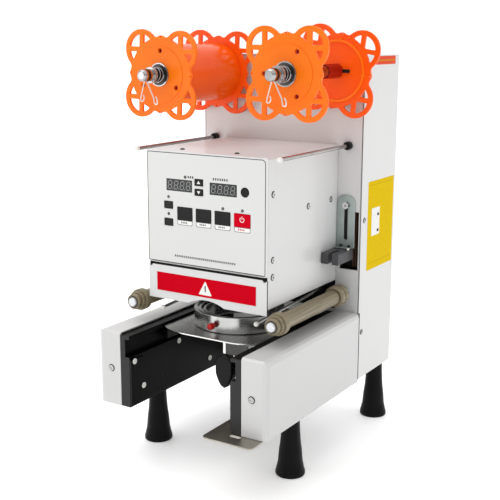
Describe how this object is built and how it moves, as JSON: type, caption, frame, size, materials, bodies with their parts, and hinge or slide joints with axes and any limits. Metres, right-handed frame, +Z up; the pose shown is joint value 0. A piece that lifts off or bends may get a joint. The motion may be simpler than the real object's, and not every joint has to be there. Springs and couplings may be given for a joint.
{
  "type": "cup sealing machine",
  "caption": "Bench-top film sealer for drinks cups: rear column, keypad head, sliding cup ring between two arms, film reels and flared feet.",
  "frame": {"origin": "centre of the footprint box, on the surface the feet stand on", "axes": "+Z up, the keypad and the tray face -Y, +X to the right of a person facing the keypad"},
  "size_m": [0.3129, 0.3938, 0.5823],
  "materials": {
    "white_paint": "satin white powder coat",
    "black_paint": "black powder coat",
    "stainless": "brushed stainless",
    "zinc_plate": "zinc plated",
    "polished_steel": "polished",
    "orange_plastic": "glossy translucent moulding",
    "black_plastic": "fine texture",
    "red_plastic": "glossy",
    "beige_plastic": "turned nylon",
    "aluminium": "machined",
    "dark_steel": "dark oiled steel",
    "circuit": "solder mask",
    "rubber": "moulded rubber"
  },
  "bodies": {
    "frame": {"column_front_panel": "white_paint", "column_cover": "white_paint", "power_inlet": "black_plastic", "press_motor": "dark_steel", "film_motor": "aluminium", "power_supply": "aluminium", "left_arm_frame": "black_paint", "right_arm_frame": "black_paint", "left_arm_cladding": "white_paint", "right_arm_cladding": "white_paint", "arm_lower_plate": "dark_steel", "front_left_foot": "rubber", "front_right_foot": "rubber", "rear_left_foot": "rubber", "rear_right_foot": "rubber", "head_housing": "white_paint", "head_front_panel": "white_paint", "guard_hinge_rod": "polished_steel", "control_board": "circuit", "press_base": "aluminium", "left_return_spring": "zinc_plate", "right_return_spring": "zinc_plate", "left_upper_rod": "polished_steel", "right_upper_rod": "polished_steel", "left_lower_rod": "polished_steel", "right_lower_rod": "polished_steel"},
    "tray": {"tray_plate": "stainless", "cup_ring": "stainless", "ring_knob": "red_plastic", "tray_pull_handle": "black_plastic"},
    "press": {"press_plate": "aluminium", "heater_block": "aluminium", "cutter_ring": "stainless"},
    "cam": {"press_cam": "stainless"},
    "guard": {"guard_cover": "white_paint"},
    "sensor": {"sensor_bracket": "zinc_plate", "mark_sensor": "black_plastic"},
    "rocker": {"power_rocker": "black_plastic"},
    "supply_reel": {"supply_reel_shaft": "polished_steel", "supply_front_flange": "orange_plastic", "supply_rear_flange": "orange_plastic", "supply_reel_spring": "zinc_plate", "supply_shaft_clip": "polished_steel", "supply_film_core": "orange_plastic"},
    "takeup_reel": {"takeup_reel_shaft": "polished_steel", "takeup_front_flange": "orange_plastic", "takeup_rear_flange": "orange_plastic", "takeup_reel_spring": "zinc_plate", "takeup_shaft_clip": "polished_steel"},
    "left_roller": {"left_film_roller": "beige_plastic"},
    "right_roller": {"right_film_roller": "beige_plastic"},
    "temp_up_key": {"temp_up_key": "black_plastic"},
    "temp_down_key": {"temp_down_key": "black_plastic"},
    "heat_key": {"heat_key": "black_plastic"},
    "motor_key": {"motor_key": "black_plastic"},
    "count_key": {"count_key": "black_plastic"},
    "start_key": {"start_key": "black_plastic"},
    "stop_key": {"stop_key": "black_plastic"},
    "power_key": {"power_key": "red_plastic"},
    "counter_reset_button": {"counter_reset_button": "black_plastic"}
  },
  "joints": [
    {"name": "tray_slide", "type": "slide", "parent": "frame", "child": "tray", "axis": [0, -1, 0], "range_m": [0, 0.13]},
    {"name": "press_stroke", "type": "slide", "parent": "frame", "child": "press", "axis": [0, 0, -1], "range_m": [0, 0.018], "stiffness_N_per_m": 1500, "springref_m": -0.012, "deforming": ["left_return_spring", "right_return_spring"]},
    {"name": "cam_turn", "type": "hinge", "parent": "frame", "child": "cam", "pos_m": [0, -0.0274, 0.2716], "axis": [0, 1, 0], "range_deg": [0, 180]},
    {"name": "guard_swing", "type": "hinge", "parent": "frame", "child": "guard", "pos_m": [0, -0.1064, 0.2687], "axis": [-1, 0, 0], "range_deg": [0, 95]},
    {"name": "sensor_height", "type": "slide", "parent": "frame", "child": "sensor", "axis": [0, 0, 1], "range_m": [0, 0.035]},
    {"name": "rocker_tip", "type": "hinge", "parent": "frame", "child": "rocker", "pos_m": [-0.085, 0.1873, 0.178], "axis": [1, 0, 0], "range_deg": [0, 16]},
    {"name": "supply_reel_spin", "type": "hinge", "parent": "frame", "child": "supply_reel", "pos_m": [-0.0965, -0.0199, 0.5155], "axis": [0, 1, 0], "continuous": true},
    {"name": "takeup_reel_spin", "type": "hinge", "parent": "frame", "child": "takeup_reel", "pos_m": [0.0955, -0.0199, 0.5205], "axis": [0, 1, 0], "continuous": true},
    {"name": "left_roller_spin", "type": "hinge", "parent": "frame", "child": "left_roller", "pos_m": [-0.1086, -0.0199, 0.2146], "axis": [0, 1, 0], "continuous": true},
    {"name": "right_roller_spin", "type": "hinge", "parent": "frame", "child": "right_roller", "pos_m": [0.1086, -0.0199, 0.2146], "axis": [0, 1, 0], "continuous": true},
    {"name": "temp_up_key_press", "type": "slide", "parent": "frame", "child": "temp_up_key", "axis": [0, 1, 0], "range_m": [0, 0.0006], "stiffness_N_per_m": 800, "springref_m": -0.0004},
    {"name": "temp_down_key_press", "type": "slide", "parent": "frame", "child": "temp_down_key", "axis": [0, 1, 0], "range_m": [0, 0.0006], "stiffness_N_per_m": 800, "springref_m": -0.0004},
    {"name": "heat_key_press", "type": "slide", "parent": "frame", "child": "heat_key", "axis": [0, 1, 0], "range_m": [0, 0.0006], "stiffness_N_per_m": 800, "springref_m": -0.0004},
    {"name": "motor_key_press", "type": "slide", "parent": "frame", "child": "motor_key", "axis": [0, 1, 0], "range_m": [0, 0.0006], "stiffness_N_per_m": 800, "springref_m": -0.0004},
    {"name": "count_key_press", "type": "slide", "parent": "frame", "child": "count_key", "axis": [0, 1, 0], "range_m": [0, 0.0006], "stiffness_N_per_m": 800, "springref_m": -0.0004},
    {"name": "start_key_press", "type": "slide", "parent": "frame", "child": "start_key", "axis": [0, 1, 0], "range_m": [0, 0.0006], "stiffness_N_per_m": 800, "springref_m": -0.0004},
    {"name": "stop_key_press", "type": "slide", "parent": "frame", "child": "stop_key", "axis": [0, 1, 0], "range_m": [0, 0.0006], "stiffness_N_per_m": 800, "springref_m": -0.0004},
    {"name": "power_key_press", "type": "slide", "parent": "frame", "child": "power_key", "axis": [0, 1, 0], "range_m": [0, 0.0006], "stiffness_N_per_m": 800, "springref_m": -0.0004},
    {"name": "counter_reset_button_press", "type": "slide", "parent": "frame", "child": "counter_reset_button", "axis": [0, 1, 0], "range_m": [0, 0.0006], "stiffness_N_per_m": 800, "springref_m": -0.0004}
  ],
  "couplings": [
    {"joint": "cam_turn", "follows": "press_stroke", "rad_per_m": 174.53}
  ]
}
